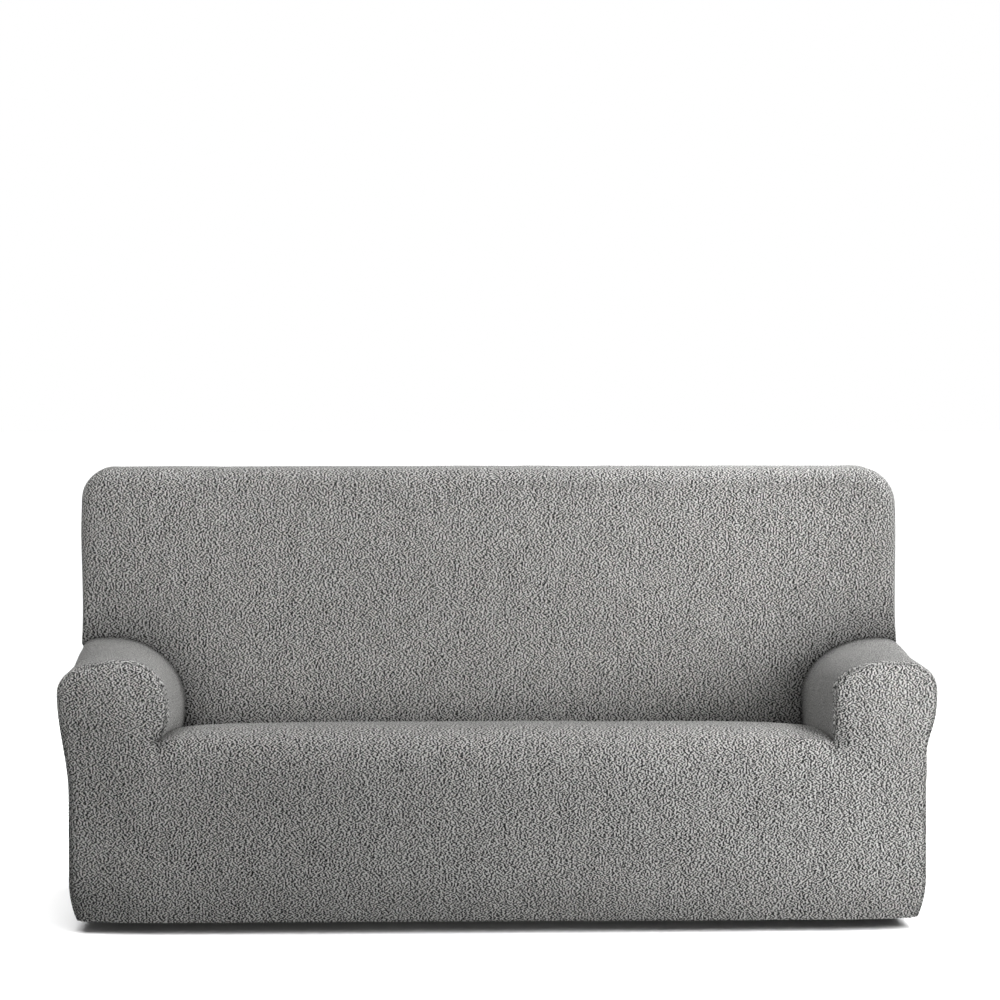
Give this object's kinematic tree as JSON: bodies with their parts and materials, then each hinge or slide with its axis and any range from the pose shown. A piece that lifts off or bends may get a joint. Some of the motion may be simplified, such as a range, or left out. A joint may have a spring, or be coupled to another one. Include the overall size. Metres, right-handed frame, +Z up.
{
  "type": "sofa slipcover",
  "caption": "Fitted stretch slipcover for a roll-arm sofa, in crinkled grey knit: hollow, open below, with rounded back, rolled arms and a low straight hem.",
  "frame": {"origin": "underside of the top of the back, midway along it and midway front to rear, where the cover rests on what carries it", "axes": "+X to the viewer's right along the seat, +Y to the rear, +Z up"},
  "size_m": [1.9247, 0.9281, 0.9575],
  "materials": {
    "crinkle_knit": "matte",
    "crinkle_knit_rear": "matte"
  },
  "bodies": {
    "root": {"seat_front": "crinkle_knit", "arm_left": "crinkle_knit", "arm_right": "crinkle_knit", "back_inside": "crinkle_knit", "back_outside": "crinkle_knit_rear"}
  },
  "joints": []
}
